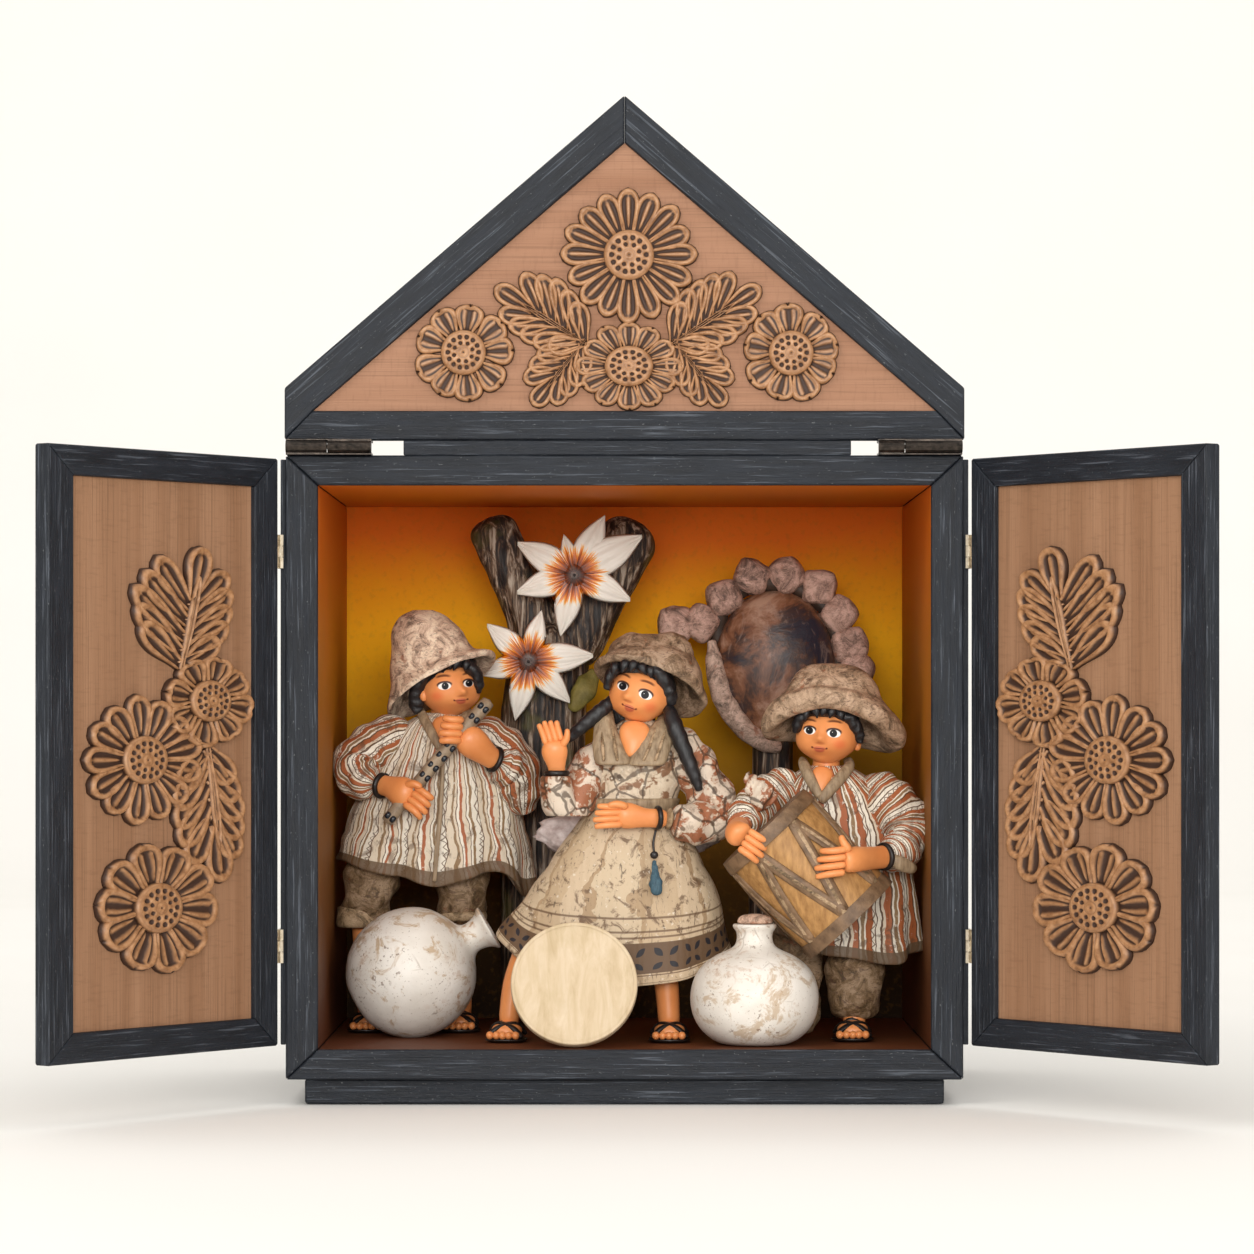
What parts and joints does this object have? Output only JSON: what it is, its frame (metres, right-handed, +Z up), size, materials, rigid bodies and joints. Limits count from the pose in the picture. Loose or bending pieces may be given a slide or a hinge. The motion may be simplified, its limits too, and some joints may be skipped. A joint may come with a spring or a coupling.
{
  "type": "folding shrine box",
  "caption": "Dark wooden case on a low plinth with two hinged doors and a hinged gable, carved garlands, and a painted interior holding modelled figures.",
  "frame": {"origin": "centre of the plinth's underside", "axes": "+Z up, +X to the viewer's right across the open doors, the open front faces -Y"},
  "size_m": [0.5026, 0.3531, 0.4544],
  "materials": {
    "case_wood": "blue-black paint with brushed grain and fine scratches",
    "frame_wood": "blue-black paint with brushed grain and fine scratches",
    "painted_back": "matte paint shading from orange at the top to yellow and olive",
    "panel_wood": "open-grained tan wood, matte",
    "carved_wood": "carved, waxed, with dark stain in the recesses",
    "brass": "dull brass",
    "dark_steel": "dark bronzed steel",
    "flute_boy_paste": "painted paste, satin",
    "woman_paste": "painted paste, satin",
    "drum_boy_paste": "painted paste, satin",
    "white_clay": "white painted, brown stains",
    "stopper_paste": "mottled brown and white",
    "drum_skin": "pale hide, streaked",
    "tree_paste": "dark bark, scratched",
    "flower_paste": "white petals with an orange-brown centre",
    "pod_paste": "mottled brown, satin"
  },
  "bodies": {
    "case": {"plinth": "case_wood", "board_bottom": "case_wood", "board_top": "case_wood", "board_left": "case_wood", "board_right": "case_wood", "back_panel": "painted_back", "rest_strip": "case_wood", "hinge_strip_left": "case_wood", "hinge_strip_right": "case_wood", "case_left_hinge_1": "brass", "case_left_hinge_2": "brass", "case_right_hinge_1": "brass", "case_right_hinge_2": "brass", "case_top_hinge_left": "dark_steel", "case_top_hinge_right": "dark_steel", "figure_flute_boy": "flute_boy_paste", "figure_woman": "woman_paste", "figure_drum_boy": "drum_boy_paste", "jar_round": "white_clay", "jar_long_neck": "white_clay", "jar_stopper": "stopper_paste", "drum_disc": "drum_skin", "tree": "tree_paste", "star_flower_upper": "flower_paste", "star_flower_lower": "flower_paste", "fruit_pod": "pod_paste"},
    "left_door": {"door_left_hinge_stile": "frame_wood", "door_left_free_stile": "frame_wood", "door_left_rail_bottom": "frame_wood", "door_left_rail_top": "frame_wood", "door_left_panel": "panel_wood", "door_left_garland": "carved_wood", "door_left_hinge_1": "brass", "door_left_hinge_2": "brass"},
    "right_door": {"door_right_hinge_stile": "frame_wood", "door_right_free_stile": "frame_wood", "door_right_rail_bottom": "frame_wood", "door_right_rail_top": "frame_wood", "door_right_panel": "panel_wood", "door_right_garland": "carved_wood", "door_right_hinge_1": "brass", "door_right_hinge_2": "brass"},
    "pediment": {"pediment_rafter_left": "frame_wood", "pediment_rafter_right": "frame_wood", "pediment_rail": "frame_wood", "pediment_panel": "panel_wood", "pediment_garland": "carved_wood", "pediment_hinge_left": "dark_steel", "pediment_hinge_right": "dark_steel"}
  },
  "joints": [
    {"name": "left_door_hinge", "type": "hinge", "parent": "case", "child": "left_door", "pos_m": [-0.1546, -0.1142, 0.16], "axis": [0, 0, -1], "range_deg": [-125.5, 54.5]},
    {"name": "right_door_hinge", "type": "hinge", "parent": "case", "child": "right_door", "pos_m": [0.1546, -0.1142, 0.16], "axis": [0, 0, 1], "range_deg": [-126.8, 53.2]},
    {"name": "pediment_hinge", "type": "hinge", "parent": "case", "child": "pediment", "pos_m": [0, -0.119, 0.2959], "axis": [1, 0, 0], "range_deg": [0, 180]}
  ]
}
